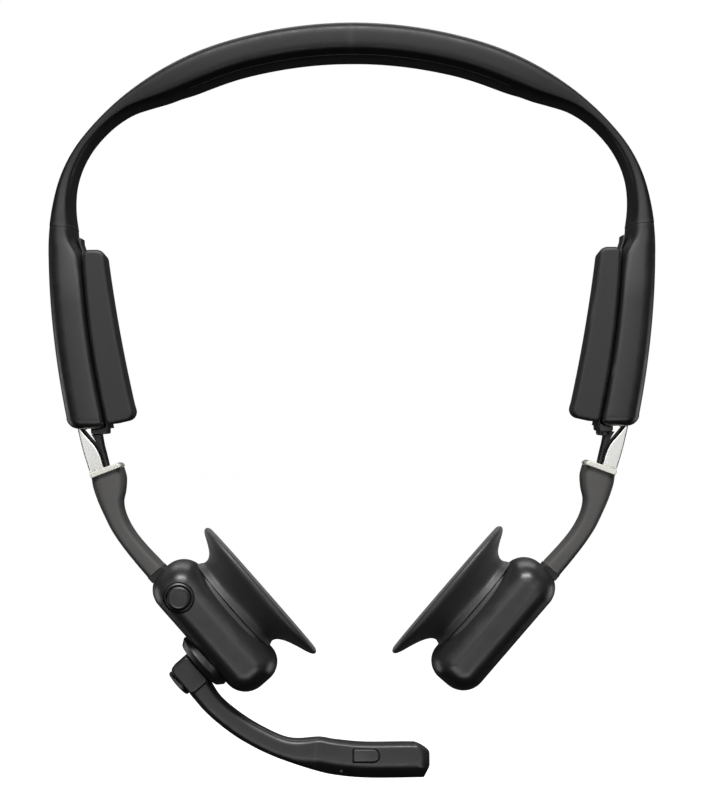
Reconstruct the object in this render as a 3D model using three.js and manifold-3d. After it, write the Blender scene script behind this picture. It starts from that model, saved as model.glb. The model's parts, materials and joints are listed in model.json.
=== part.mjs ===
// Bone conduction headphones: a sprung headband over the crown, two temple housings with soft pads,
// two sliding arms that carry the transducer pods, and a microphone boom that turns on the left pod.
// Millimetres, +Z up, -Y the wearer's front, the origin under the middle of the crown pad.
import * as THREE from "three";
import { mergeVertices } from "three/addons/utils/BufferGeometryUtils.js";
import Module from "manifold-3d";

const wasm = await Module();
wasm.setup();

const DEG = Math.PI / 180;
const GAP = 0.3; // between neighbouring pieces

// Headband. Its outer face leaves the top of the crown as tangent arcs: [radius, degrees].
const BAND_TOP = 9.1;
const BAND_ARCS = [
  [120, 17],
  [77, 34],
  [37.5, 24],
  [65, 16],
  [245, 10.5],
];
const BAND_SPLIT = 70; // along the outer face, where the band's bending is gathered in one hinge
const SPLIT_GAP = 0.6;
const HOUSING_START = 106.8; // along the outer face
const BAND_THICKNESS = [
  [0, 4.4],
  [50, 3.6],
  [66, 3.2],
  [86, 3.7],
  [100, 5.4],
  [HOUSING_START, 6.9],
];
const BAND_HALF_DEPTH = [
  [0, 12],
  [50, 10.6],
  [72, 8.8],
  [92, 8.8],
  [HOUSING_START, 10.6],
];
const CROWN_TOTAL = [
  [0, BAND_TOP],
  [30, 8.95],
  [50, 8.25],
  [58, 6.95],
  [66, 4.4],
];
const CROWN_PAD_END = 67;
const CHANNEL = { half: 6, from: 1.0, to: 2.7, reach: BAND_SPLIT }; // inside the crown band

// Temple housing, pad frame and pad, as outlines in the side plane.
const SIDE_DEPTH = 24;
const HOUSING_BOTTOM = -99.4;
const FRAME_TOP = -47.9;
const FRAME_THICKNESS = 0.9;
const TAB_DEPTH = 4;
const PAD_TOP = -50.6;
const PAD_BOTTOM = -98;
const WALL = 1.2;
const PORT = { x: 72.9, z: -86.4, lean: 7 * DEG, width: 2.8, height: 8.6, from: 5.4, to: 11.2 };
const FOOT = { x: 68.2, width: 4.6, depth: 14, top: HOUSING_BOTTOM - 0.5, bottom: HOUSING_BOTTOM - 2.3 };

// Slider: a thin strip inside the housing that thickens to a neck below it.
const SLIDE_LEAN = 10.2 * DEG;
const STRIP = { x: 74.1, z: HOUSING_BOTTOM, thickness: 1, width: 10, inside: 26 };
const SLOT_X = STRIP.x - 1;
const RIBBON = { thickness: 0.4, width: 5, inside: 21 };

// Arm and pod.
const ARM_PIVOT = new THREE.Vector2(65, -122.4);
const ARM_DEPTH = 11;
const KNUCKLE = 2.6;
const POD_CENTRE = new THREE.Vector3(37.8, 0, -152.9);
const POD_LEAN = 49 * DEG; // of its long axis below the horizontal
const POD = { length: 41.2, thickness: 15.2, depth: 25, round: 6.5, edge: 4 };
const EAR_PAD = [
  // [height over the pod's middle plane, half length, half depth]
  [7.9, 14.6, 9.6],
  [9.4, 13.9, 9],
  [11.4, 15.6, 10.6],
  [13.8, 19.4, 12.6],
  [15, 21.8, 13.7],
  [16.4, 22.4, 14],
  [17.1, 21.7, 13.4],
];
const EAR_PAD_SHIFT = [-0.7, 1.2]; // along the pod, from its neck to its face

// Buttons and boom, on the left pod.
const MAIN_BUTTON = { u: -12.1, n: -1.1, cap: 3.1, ring: [3.4, 4.1], hole: 4.4 };
const HUB = { u: 5.4, base: 8.15, pin: 1.5, width: 8.6 };
const BOOM_PATH = [
  [41.5, -170.9],
  [37.8, -174.6],
  [33.3, -178.5],
  [27.5, -182.3],
  [19.3, -186],
  [9.8, -188.3],
  [2, -189.6],
  [-20.6, -189.9],
];
const BOOM_JOINT = 0.53; // share of the path where the tip housing begins
const MUTE = { x: -3.1, z: -187.9, length: 7, height: 3.4 };
const MICROPHONE = { x: 3.7, z: -192.2, radius: 0.7 };

// ---- helpers ----

/** Linear interpolation in a table of [position, value] rows. */
function along(table, at) {
  const next = table.findIndex(([position]) => position >= at);
  if (next < 0) return table.at(-1)[1];
  if (next === 0) return table[0][1];
  const [[p0, v0], [p1, v1]] = [table[next - 1], table[next]];
  return v0 + ((v1 - v0) * (at - p0)) / (p1 - p0);
}

/** A closed geometry from corner positions and triangles, with its faces pointing out. */
function closed(positions, indices) {
  const at = (i) => new THREE.Vector3().fromArray(positions, 3 * i);
  let volume = 0;
  for (let i = 0; i < indices.length; i += 3) {
    volume += at(indices[i]).dot(at(indices[i + 1]).cross(at(indices[i + 2])));
  }
  const faces = volume < 0 ? indices.toReversed() : indices;
  const geometry = new THREE.BufferGeometry();
  geometry.setAttribute("position", new THREE.Float32BufferAttribute(positions, 3));
  geometry.setIndex(faces);
  return geometry;
}

/** A skin through rings of equally many points, with a cap on the first and the last ring. */
function loft(rings) {
  const count = rings[0].length;
  const middle = (ring) =>
    ring.reduce((sum, p) => sum.add(p), new THREE.Vector3()).divideScalar(count);
  const points = [...rings.flat(), middle(rings[0]), middle(rings.at(-1))];
  const last = rings.length - 1;
  const indices = [];
  for (let k = 0; k < count; k++) {
    const k2 = (k + 1) % count;
    for (let i = 0; i < last; i++) {
      const [a, b] = [i * count + k, i * count + k2];
      indices.push(a, b, b + count, a, b + count, a + count);
    }
    indices.push(rings.length * count, k2, k);
    indices.push(rings.length * count + 1, last * count + k, last * count + k2);
  }
  return closed(points.flatMap((p) => p.toArray()), indices);
}

/** Points of a rounded rectangle or an oval: a power of 2 is an ellipse, more is squarer. */
function oval(halfWidth, halfHeight, power, count) {
  const bend = (v) => Math.sign(v) * Math.abs(v) ** (2 / power);
  return Array.from({ length: count }, (_, k) => {
    const turn = (2 * Math.PI * (k + 0.5)) / count;
    return [halfWidth * bend(Math.cos(turn)), halfHeight * bend(Math.sin(turn))];
  });
}

const ROUND = 0.5523; // how far a cubic's handles reach to draw a quarter circle

/** A shape from [x, z, corner radius] rows. */
function outline(corners) {
  const shape = new THREE.Shape();
  const corner = (i) => new THREE.Vector2(...corners.at(i % corners.length));
  corners.forEach(([x, z, radius = 0], i) => {
    const here = new THREE.Vector2(x, z);
    const toward = (other) => other.sub(here).setLength(radius).add(here);
    const enter = radius ? toward(corner(i - 1)) : here;
    if (i) shape.lineTo(enter.x, enter.y);
    else shape.moveTo(enter.x, enter.y);
    if (radius) {
      const leave = toward(corner(i + 1));
      const [a, b] = [enter, leave].map((end) => end.clone().lerp(here, ROUND));
      shape.bezierCurveTo(a.x, a.y, b.x, b.y, leave.x, leave.y);
    }
  });
  return shape;
}

/** Rows of an outline on a circle, between two angles in degrees. */
function arc(x, z, radius, from, to, steps) {
  return Array.from({ length: steps + 1 }, (_, i) => {
    const turn = (from + ((to - from) * i) / steps) * DEG;
    return [x + radius * Math.cos(turn), z + radius * Math.sin(turn)];
  });
}

/** An outline of the side plane, extruded to a depth across it, with rounded edges. */
function slab(shape, depth, edge = 0, edgeSteps = 2) {
  const geometry = new THREE.ExtrudeGeometry(shape, {
    depth: depth - 2 * edge,
    curveSegments: 4,
    bevelEnabled: edge > 0,
    bevelThickness: edge,
    bevelSize: edge,
    bevelOffset: -edge,
    bevelSegments: edgeSteps,
  });
  return geometry.rotateX(Math.PI / 2).translate(0, depth / 2 - edge, 0);
}

/** A cylinder across the side plane. */
function roller(radius, length, x, y, z, sides = 24) {
  return new THREE.CylinderGeometry(radius, radius, length, sides).translate(x, y, z);
}

/** A disc or peg along the local z axis, centred on (x, y), between two heights. */
function peg(radius, z0, z1, x = 0, y = 0, sides = 24, topRadius = radius) {
  return new THREE.CylinderGeometry(topRadius, radius, z1 - z0, sides)
    .rotateX(Math.PI / 2)
    .translate(x, y, (z0 + z1) / 2);
}

/** A box with its middle at (x, y, z), leaning outwards at the top. */
function block(width, depth, height, x, y, z, lean = 0) {
  return new THREE.BoxGeometry(width, depth, height).rotateY(lean).translate(x, y, z);
}

function solid(geometry) {
  const bare = geometry.clone();
  bare.deleteAttribute("normal");
  bare.deleteAttribute("uv");
  const merged = mergeVertices(bare, 1e-4);
  const mesh = new wasm.Mesh({
    numProp: 3,
    vertProperties: merged.attributes.position.array,
    triVerts: new Uint32Array(merged.index.array),
  });
  return new wasm.Manifold(mesh);
}

function geometryOf(body) {
  const mesh = body.getMesh();
  const geometry = new THREE.BufferGeometry();
  geometry.setAttribute("position", new THREE.BufferAttribute(mesh.vertProperties, 3));
  geometry.setIndex(new THREE.BufferAttribute(mesh.triVerts, 1));
  return geometry;
}

/** What is left of a geometry after others are cut away from it. */
function cut(geometry, ...tools) {
  return geometryOf(tools.reduce((body, tool) => body.subtract(solid(tool)), solid(geometry)));
}

/** Two touching or overlapping geometries as one. */
function join(first, second) {
  return geometryOf(solid(first).add(solid(second)));
}

function material(color, roughness, metalness = 0) {
  return new THREE.MeshStandardMaterial({ color, roughness, metalness });
}

const silicone = () => material(0x1b1b1c, 0.62);
const plastic = () => material(0x2a2a2b, 0.5);
const satinPlastic = () => material(0x2e2e30, 0.32);
const armRubber = () => material(0x4a4a4a, 0.7);
const polishedSteel = () => material(0xf0f0ee, 0.15, 1);
const satinMetal = () => material(0xb8b8b4, 0.35, 1);
const springSteel = () => material(0x8c8f92, 0.4, 1);
const greenBoard = () => material(0x1f4a2e, 0.6);
const copperCable = () => material(0x8a5a2c, 0.6);
const cellWrap = () => material(0x5b6f8a, 0.5);

function add(group, name, geometry, look) {
  const mesh = new THREE.Mesh(geometry, look());
  mesh.name = name;
  group.add(mesh);
}

// ---- headband ----

/** The outer face at a distance along it from the top: place, and heading from the horizontal. */
function outerFace(distance) {
  let [x, z, heading, left] = [0, BAND_TOP, 0, Math.abs(distance)];
  for (const [radius, sweep] of BAND_ARCS) {
    const turn = Math.min(left / radius, sweep * DEG);
    x += radius * (Math.sin(heading + turn) - Math.sin(heading));
    z -= radius * (Math.cos(heading) - Math.cos(heading + turn));
    heading += turn;
    left -= radius * turn;
  }
  const side = Math.sign(distance) || 1;
  return { x: side * x, z, heading: side * heading };
}

/** A ring of the band between two depths under its outer face. */
function bandRing(distance, from, to, halfDepth, power, count) {
  const { x, z, heading } = outerFace(distance);
  return oval(halfDepth, (to - from) / 2, power, count).map(([y, w]) => {
    const depth = (from + to) / 2 + w;
    return new THREE.Vector3(x - depth * Math.sin(heading), y, z - depth * Math.cos(heading));
  });
}

function bandLoft(start, end, steps, from, to, halfDepth, power, count) {
  const rings = Array.from({ length: steps + 1 }, (_, i) => {
    const distance = start + ((end - start) * i) / steps;
    const reach = Math.abs(distance);
    return bandRing(distance, from(reach), to(reach), halfDepth(reach), power, count);
  });
  return loft(rings);
}

function buildCrown(group) {
  const end = BAND_SPLIT - SPLIT_GAP / 2;
  const bandDepth = (reach) => along(BAND_HALF_DEPTH, reach);
  const thickness = (reach) => along(BAND_THICKNESS, reach);
  const skin = bandLoft(-end, end, 24, () => 0, thickness, bandDepth, 3, 16);
  const level = (value) => () => value;
  const strip = (start, from, to, half) =>
    bandLoft(-start, start, 20, level(from), level(to), level(half), 12, 8);
  const { from, to, half, reach } = CHANNEL;
  add(group, "crown_band", cut(skin, strip(reach, from, to, half)), silicone);
  add(group, "crown_spring", strip(end - 1, from + 0.25, from + 0.8, half - 0.6), springSteel);
  add(group, "band_cable", strip(end - 1, to - 0.6, to - 0.25, half - 2), copperCable);

  const padTop = (at) => thickness(at) + GAP;
  const padBottom = (at) => Math.max(along(CROWN_TOTAL, at), padTop(at) + 0.4);
  const padDepth = (at) => bandDepth(at) - 0.4 - 3 * THREE.MathUtils.smoothstep(at, 52, CROWN_PAD_END);
  const pad = bandLoft(-CROWN_PAD_END, CROWN_PAD_END, 24, padTop, padBottom, padDepth, 3, 16);
  add(group, "crown_pad", pad, silicone);
}

// ---- temple: band side, housing, pad frame, pad and slider guide ----

/** Where the pad frame runs, as a distance from the middle plane. */
function seam(z) {
  const down = -50 - z;
  return 72.1 - 0.032 * down - 0.00199 * down ** 2;
}

/** The pad's inner face, which rests on the head. */
function padFace(z) {
  const down = -52 - z;
  return 67.2 - 0.125 * down - 0.0012 * down ** 2;
}

/** Rows of an outline side, [x(z), z] between two heights. */
function run(face, from, to, steps) {
  return Array.from({ length: steps + 1 }, (_, i) => {
    const z = from + ((to - from) * i) / steps;
    return [face(z), z];
  });
}

/** The housing's outer side, inset by a wall, from the band down to its bottom. */
function housingBack(inset, steps) {
  const length = BAND_ARCS.reduce((sum, [radius, sweep]) => sum + radius * sweep * DEG, 0);
  return Array.from({ length: steps + 1 }, (_, i) => {
    const at = HOUSING_START + GAP + inset + ((length - HOUSING_START - GAP) * i) / steps;
    const { x, z, heading } = outerFace(Math.min(at, length));
    return [x - inset * Math.sin(heading), z - inset * Math.cos(heading)];
  }).filter(([, z]) => z > HOUSING_BOTTOM + inset + 3);
}

/** The face of the pad frame, moved outwards by an offset. */
const seamFace = (offset) => (z) => seam(z) + offset;
const FRAME_FRONT = FRAME_THICKNESS / 2 + GAP; // where the housing and the pad meet the frame

function buildBandSide(group, side) {
  const skin = bandLoft(
    BAND_SPLIT + SPLIT_GAP / 2,
    HOUSING_START,
    14,
    () => 0,
    (at) => along(BAND_THICKNESS, at),
    (at) => along(BAND_HALF_DEPTH, at),
    3,
    16,
  );
  add(group, `${side}_band_side`, skin, silicone);
}

function buildHousing(group, side) {
  const shell = slab(
    outline([
      ...housingBack(0, 10),
      [77, HOUSING_BOTTOM - 0.4, 3],
      ...run(seamFace(FRAME_FRONT), HOUSING_BOTTOM, PAD_TOP - 1.6, 8),
      [74.6, PAD_TOP + 0.6],
      [75, -46.2],
    ]),
    SIDE_DEPTH,
    2.6,
  );
  const cavity = slab(
    outline([
      ...housingBack(WALL, 10),
      [76.2, HOUSING_BOTTOM + 1, 1.5],
      ...run(seamFace(-2), HOUSING_BOTTOM + 1.2, PAD_TOP - 1, 8),
    ]),
    SIDE_DEPTH - 7,
  );
  const slot = block(3.1, STRIP.width + 1, 8, SLOT_X, 0, HOUSING_BOTTOM, SLIDE_LEAN);
  const mouth = block(
    PORT.width + 2 * GAP,
    SIDE_DEPTH / 2,
    PORT.height + 2 * GAP,
    PORT.x,
    PORT.from - GAP + SIDE_DEPTH / 4,
    PORT.z,
    PORT.lean,
  );
  const openings = side === "left" ? [slot, mouth] : [slot];
  add(group, `${side}_housing`, cut(shell, cavity, ...openings), plastic);
}

function buildPadFrame(group, side) {
  const plateTop = PAD_TOP - 0.4;
  const plate = slab(
    outline([
      ...run(seamFace(-FRAME_THICKNESS / 2), plateTop, HOUSING_BOTTOM, 10),
      ...run(seamFace(FRAME_THICKNESS / 2), HOUSING_BOTTOM, plateTop, 10),
    ]),
    SIDE_DEPTH - 3,
  );
  const tab = slab(
    outline([
      [72.5, plateTop - 0.8],
      [73.8, FRAME_TOP - 1.6],
      [73.8, FRAME_TOP],
      [73, FRAME_TOP],
      [73, FRAME_TOP - 1.4],
      [71.8, plateTop - 0.6],
    ]),
    TAB_DEPTH,
  );
  const frame = join(plate, tab);
  add(group, `${side}_pad_frame`, side === "left" ? join(frame, frameFoot()) : frame, plastic);
}

/** The left frame's foot, which turns out under the housing. */
function frameFoot() {
  const { x, width, depth, top, bottom } = FOOT;
  const [heel, toe] = [x - width / 2 - 0.6, x + width / 2];
  return slab(
    outline([
      [heel, HOUSING_BOTTOM + 0.2],
      [heel + 0.7, HOUSING_BOTTOM + 0.2],
      [heel + 0.7, top],
      [toe, top],
      [toe, bottom],
      [heel, bottom],
    ]),
    depth,
  );
}

function buildTemplePad(group, side) {
  const pad = slab(
    outline([
      [seam(PAD_TOP) - FRAME_FRONT, PAD_TOP],
      [padFace(PAD_TOP) + 0.4, PAD_TOP, 2.2],
      ...run(padFace, PAD_TOP - 3, PAD_BOTTOM + 5, 6),
      [padFace(PAD_BOTTOM), PAD_BOTTOM + 1.2, 2.4],
      [seam(PAD_BOTTOM) - FRAME_FRONT, PAD_BOTTOM - 0.6],
      ...run(seamFace(-FRAME_FRONT), PAD_BOTTOM + 4, PAD_TOP - 4, 6),
    ]),
    SIDE_DEPTH,
    1.2,
  );
  add(group, `${side}_temple_pad`, pad, silicone);
}

/** The bush that the slider runs in, just over the slot. */
function buildGuide(group, side) {
  const guideHeight = 5.6;
  const lift = 4.4;
  const guideX = SLOT_X + lift * Math.tan(SLIDE_LEAN) - 0.1;
  const guideZ = HOUSING_BOTTOM + lift;
  const guide = cut(
    block(4.2, 15, guideHeight, guideX, 0, guideZ, SLIDE_LEAN),
    block(2.5, STRIP.width + 0.8, guideHeight + 4, guideX, 0, guideZ, SLIDE_LEAN),
  );
  add(group, `${side}_slider_guide`, guide, plastic);
}

function buildBattery(group) {
  const cell = slab(
    outline([
      [-1.8, -13, 0.8],
      [1.8, -13, 0.8],
      [1.8, 13, 0.8],
      [-1.8, 13, 0.8],
    ]),
    16,
    0.6,
    1,
  );
  add(group, "left_battery", cell.rotateY(7 * DEG).translate(74.4, 0, -67.2), cellWrap);
}

function buildBoard(group) {
  add(group, "right_main_board", block(1, 15, 27, 73.6, 0, -70, 7 * DEG), greenBoard);
  const shield = block(1.4, 9, 10, 75.7, 0, -65, 7 * DEG);
  add(group, "right_radio_module", shield, satinMetal);
}

/** The charging receptacle: a short shell that opens at the housing's back and is closed inside. */
function buildPort(group) {
  const { x, z, lean, width, height, from, to } = PORT;
  const sheet = 0.3;
  const middle = (from + to) / 2;
  const shell = block(width, to - from, height, x, middle, z, lean);
  const room = block(width - 2 * sheet, to - from, height - 2 * sheet, x, middle + sheet, z, lean);
  add(group, "usb_receptacle", cut(shell, room), satinMetal);
}

function buildVolume(group) {
  const [x, top] = [67.6, FOOT.top];
  const plate = block(3.8, 17, 1, x, 0, top - 0.5);
  const wells = [-4, 4].map((y) => block(3, 6.4, 3, x, y, top - 0.5));
  add(group, "volume_button_plate", cut(plate, ...wells), plastic);
  [
    ["volume_up_button", -4],
    ["volume_down_button", 4],
  ].forEach(([name, y]) => {
    const cap = outline([
      [-1.2, -1.1, 0.6],
      [1.2, -1.1, 0.6],
      [1.2, 1.1],
      [-1.2, 1.1],
    ]);
    add(group, name, slab(cap, 5.8, 0.3, 1).translate(x, y, top - 1.1), plastic);
  });
}

// ---- slider ----

function buildSlider(group, side) {
  const { x, z, thickness, width, inside } = STRIP;
  const [sin, cos] = [Math.sin(SLIDE_LEAN), Math.cos(SLIDE_LEAN)];
  const up = (distance, across) => [
    x + distance * sin - across * cos,
    z + distance * cos + across * sin,
  ];
  const shoulder = -GAP - 0.3;
  const neck = outline([
    up(inside, 0),
    up(shoulder, 0),
    [71, -110.9],
    [67.1, -109.4],
    [67.8, -107],
    [69.1, -104],
    [71.2, -101.8],
    up(shoulder, thickness),
    up(inside, thickness),
  ]);
  const blade = slab(neck, width);
  const [stopX, stopZ] = up(inside + 1, thickness / 2);
  const stopper = block(thickness + 0.4, width + 3, 2, stopX, 0, stopZ - 0.3, SLIDE_LEAN);
  add(group, `${side}_slider_blade`, join(blade, stopper), polishedSteel);

  const ribbonAcross = thickness + GAP;
  const ribbon = outline([
    up(RIBBON.inside, ribbonAcross),
    up(shoulder, ribbonAcross),
    up(shoulder, ribbonAcross + RIBBON.thickness),
    up(RIBBON.inside, ribbonAcross + RIBBON.thickness),
  ]);
  add(group, `${side}_slider_cable`, slab(ribbon, RIBBON.width), copperCable);

  const guard = outline([
    [70.3, -102.2, 0.3],
    [68.6, -104.3],
    [67.5, -106.9],
    [66.9, -109],
    [66.3, -108.8],
    [66.9, -106.3],
    [67.5, -103.9],
    [68, -102.2, 0.3],
  ]);
  add(group, `${side}_cable_guard`, slab(guard, 6), plastic);

  const collar = outline([
    [70.9, -111.3, 0.6],
    [62.9, -108.4, 0.6],
    [62.4, -109.8, 0.5],
    [70.5, -112.8, 0.5],
  ]);
  add(group, `${side}_slider_collar`, slab(collar, ARM_DEPTH + 2, 0.4, 1), satinMetal);

  const { x: px, y: pz } = ARM_PIVOT;
  const upper = outline([
    [70.4, -113.1],
    [62.2, -110.2, 2],
    [61.7, -115],
    [62.6, -118.2],
    [px - KNUCKLE, pz + 0.9],
    ...arc(px, pz, KNUCKLE, 195, 345, 6),
    [px + KNUCKLE, pz + 0.9],
    [69.1, -118.4],
    [70.3, -115.2],
  ]);
  add(group, `${side}_arm_upper`, slab(upper, ARM_DEPTH, 1.2), armRubber);
}

// ---- lower arm and pod ----

function podFrame() {
  const frame = new THREE.Group();
  const down = new THREE.Vector3(-Math.cos(POD_LEAN), 0, -Math.sin(POD_LEAN));
  const inward = new THREE.Vector3(-Math.sin(POD_LEAN), 0, Math.cos(POD_LEAN));
  const basis = new THREE.Matrix4().makeBasis(down, new THREE.Vector3(0, -1, 0), inward);
  frame.quaternion.setFromRotationMatrix(basis);
  frame.position.copy(POD_CENTRE);
  return frame;
}

function buildArm(group, side) {
  const { x: px, y: pz } = ARM_PIVOT;
  const lower = slab(
    outline([
      [px + 2.9, pz - 0.9],
      [65.4, -127],
      [62.5, -131.2],
      [59.2, -135.3],
      [56, -139.1],
      [52.1, -135.5],
      [56.3, -131.1],
      [59.5, -127.1],
      [px - 2.9, pz - 0.9],
    ]),
    ARM_DEPTH,
    1.2,
  );
  const socket = roller(KNUCKLE + GAP, ARM_DEPTH + 2, px, 0, pz);
  add(group, `${side}_arm_lower`, cut(lower, socket), armRubber);
}

function buildPod(group, side) {
  const frame = podFrame();
  group.add(frame);
  const [length, half] = [POD.length / 2, POD.thickness / 2];
  const shape = outline([
    [-length, -half, POD.round],
    [length, -half, POD.round],
    [length, half, POD.round - 1.2],
    [-length, half, POD.round],
  ]);
  const roomDepth = POD.depth - 2 * POD.edge - 0.6;
  const room = block(length * 2 - 6, roomDepth, POD.thickness, 0, 0, 1.6);
  const cable = block(8, 3, 2, -length, 0, -2.2);
  const tools = [room, cable];
  if (side === "left") {
    const { u, n, hole } = MAIN_BUTTON;
    tools.push(roller(hole, 8, u, POD.depth / 2 - 1, n, 28));
    tools.push(peg(HUB.pin + 0.1, -half - 2, -half + 4, HUB.u, 0));
  }
  add(frame, `${side}_pod_shell`, cut(slab(shape, POD.depth, POD.edge, 3), ...tools), satinPlastic);

  const plateTop = half - 0.3;
  const plate = block(length * 2 - 6.8, roomDepth - 0.8, 1.3, 0, 0, plateTop - 0.65);
  add(frame, `${side}_pod_plate`, plate, plastic);
  add(frame, `${side}_contact_plate`, block(18, 12, 1.4, 1, 0, 4.9), springSteel);
  add(frame, `${side}_transducer`, block(17, 13, 6, 1, 0, 0.8), satinMetal);

  const rings = EAR_PAD.map(([height, halfLength, halfDepth], i) => {
    const shift = THREE.MathUtils.lerp(...EAR_PAD_SHIFT, i / (EAR_PAD.length - 1));
    return oval(halfLength, halfDepth, 2.4, 28).map(
      ([u, y]) => new THREE.Vector3(u + shift, y, height),
    );
  });
  add(frame, `${side}_ear_pad`, loft(rings), silicone);

  const gasket = cut(
    slab(
      outline([
        [-length - 1.5, -5.2],
        [-length - 0.3, -5.2],
        [-length - 0.3, 0.8],
        [-length - 1.5, 0.8],
      ]),
      ARM_DEPTH + 0.4,
      0.3,
      1,
    ),
    block(4, 3, 2, -length, 0, -2.2),
  );
  add(frame, `${side}_arm_gasket`, gasket, silicone);
  return frame;
}

function buildMainButton(frame) {
  const { u, n, cap, ring } = MAIN_BUTTON;
  const face = POD.depth / 2;
  const [inner, outer] = ring;
  const bezel = cut(
    roller(outer, 2.4, u, face - 1.3, n, 28),
    roller(inner, 4, u, face - 1.3, n, 28),
  );
  add(frame, "main_button_bezel", bezel, plastic);
  const profile = [
    [0, 0],
    [cap, 0],
    [cap, 3],
    [cap - 0.5, 3.5],
    [0, 3.7],
  ].map(([r, h]) => new THREE.Vector2(r, h));
  const button = new THREE.LatheGeometry(profile, 28).translate(u, face - 3.3, n);
  add(frame, "main_button", button, plastic);
  add(frame, "main_button_switch", block(5, 1.6, 5, u, face - 4.8, n), satinMetal);
}

// ---- boom ----

function buildBoomBase(frame) {
  const face = -POD.thickness / 2;
  const { u, base, pin } = HUB;
  const disc = cut(
    peg(base, face - 2.6, face - GAP, u, 0, 36, base + 0.3),
    peg(pin + 0.1, face - 4, face + 2, u, 0),
  );
  add(frame, "boom_base_plate", disc, plastic);
  add(frame, "boom_pin", peg(pin, face - 7.6, face + 2, u, 0), springSteel);
}

function buildBoomHub(frame) {
  const face = -POD.thickness / 2;
  const { u, pin, width } = HUB;
  const [near, far] = [face - 2.6 - GAP, face - 9.3];
  const [top, stemSide] = [u - width / 2 - 0.2, u + width / 2 + 0.5];
  const shape = outline([
    [top, far, 1.4],
    [stemSide, far, 1.4],
    [stemSide, near],
    [top, near],
  ]);
  const hub = cut(
    slab(shape, width, 1),
    peg(pin + 0.1, face - 7.9, face, u, 0),
  );
  add(frame, "boom_hub", hub, plastic);
  add(frame, "boom_hub_cap", peg(3.6, far - 1.1, far - GAP, u, 0, 28, 3.8), plastic);
}

/** The boom's rings between two shares of its path, with half thickness and half depth by share. */
function boomLoft(from, to, steps, halfThickness, halfDepth, power) {
  const path = new THREE.CatmullRomCurve3(
    BOOM_PATH.map(([x, z]) => new THREE.Vector3(x, 0, z)),
    false,
    "centripetal",
  );
  const rings = Array.from({ length: steps + 1 }, (_, i) => {
    const share = from + ((to - from) * i) / steps;
    const centre = path.getPointAt(share);
    const tangent = path.getTangentAt(share);
    const across = new THREE.Vector3(-tangent.z, 0, tangent.x);
    return oval(along(halfThickness, share), along(halfDepth, share), power, 16).map(([w, y]) =>
      centre.clone().addScaledVector(across, w).add(new THREE.Vector3(0, y, 0)),
    );
  });
  return loft(rings);
}

function buildBoom(group) {
  const stemThickness = [
    [0, 2.9],
    [0.4, 2.7],
    [BOOM_JOINT, 2.9],
  ];
  const stem = boomLoft(0, BOOM_JOINT, 14, stemThickness, [[0, 3.6]], 3.5);
  add(group, "boom_stem", stem, plastic);
  const tip = boomLoft(
    BOOM_JOINT + 0.006,
    1,
    12,
    [
      [BOOM_JOINT, 3.8],
      [0.68, 4.3],
      [1, 4.3],
    ],
    [
      [BOOM_JOINT, 3.7],
      [0.68, 4.2],
      [0.98, 4.2],
      [1, 3.6],
    ],
    4,
  );
  const { x, z, length, height } = MUTE;
  const well = slab(muteOutline(length + 0.7, height + 0.7), 5).translate(x, -3.6, z);
  const { x: micX, z: micZ, radius: micRadius } = MICROPHONE;
  const micHole = roller(micRadius + 0.2, 4, micX, -3, micZ, 12);
  const [endX, endZ] = BOOM_PATH.at(-1);
  const slant = block(6, 12, 18, endX - 1.2, 0, endZ - 3.2, -25 * DEG);
  const bevel = block(4, 12, 8, endX + 0.3, 0, endZ + 4.3, 45 * DEG);
  add(group, "boom_tip", cut(tip, well, micHole, slant, bevel), plastic);
  const key = slab(muteOutline(length, height), 2.2, 0.3, 1).translate(x, -3.4, z);
  add(group, "mute_button", key, plastic);
  add(group, "mute_switch", block(4, 0.5, 2, x, -1.6, z), satinMetal);
  add(group, "microphone", roller(micRadius, 1.6, micX, -2.2, micZ, 12), satinMetal);
}

/** A key that is round at its inner end. */
function muteOutline(length, height) {
  const [l, h] = [length / 2, height / 2];
  return outline([
    [-l, -h, 0.5],
    [l, -h, h],
    [l, h, h],
    [-l, h, 0.5],
  ]);
}

// ---- assembly ----

const headphones = new THREE.Group();
const crown = new THREE.Group();
headphones.add(crown);
buildCrown(crown);

["left", "right"].forEach((side) => {
  const half = new THREE.Group();
  half.scale.x = side === "left" ? -1 : 1;
  headphones.add(half);
  buildBandSide(half, side);
  buildHousing(half, side);
  buildPadFrame(half, side);
  buildTemplePad(half, side);
  buildGuide(half, side);
  buildSlider(half, side);
  buildArm(half, side);
  const pod = buildPod(half, side);
  if (side === "left") {
    buildBattery(half);
    buildPort(half);
    buildMainButton(pod);
    buildBoomBase(pod);
    buildBoomHub(pod);
    buildBoom(half);
  } else {
    buildBoard(half);
    buildVolume(half);
  }
});

export default headphones;
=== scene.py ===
"""Bone conduction headphones: skins, soft parts, finishes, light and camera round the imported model."""

import json
import math

import bmesh
import bpy
import numpy as np
from mathutils import Matrix, Vector

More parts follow.
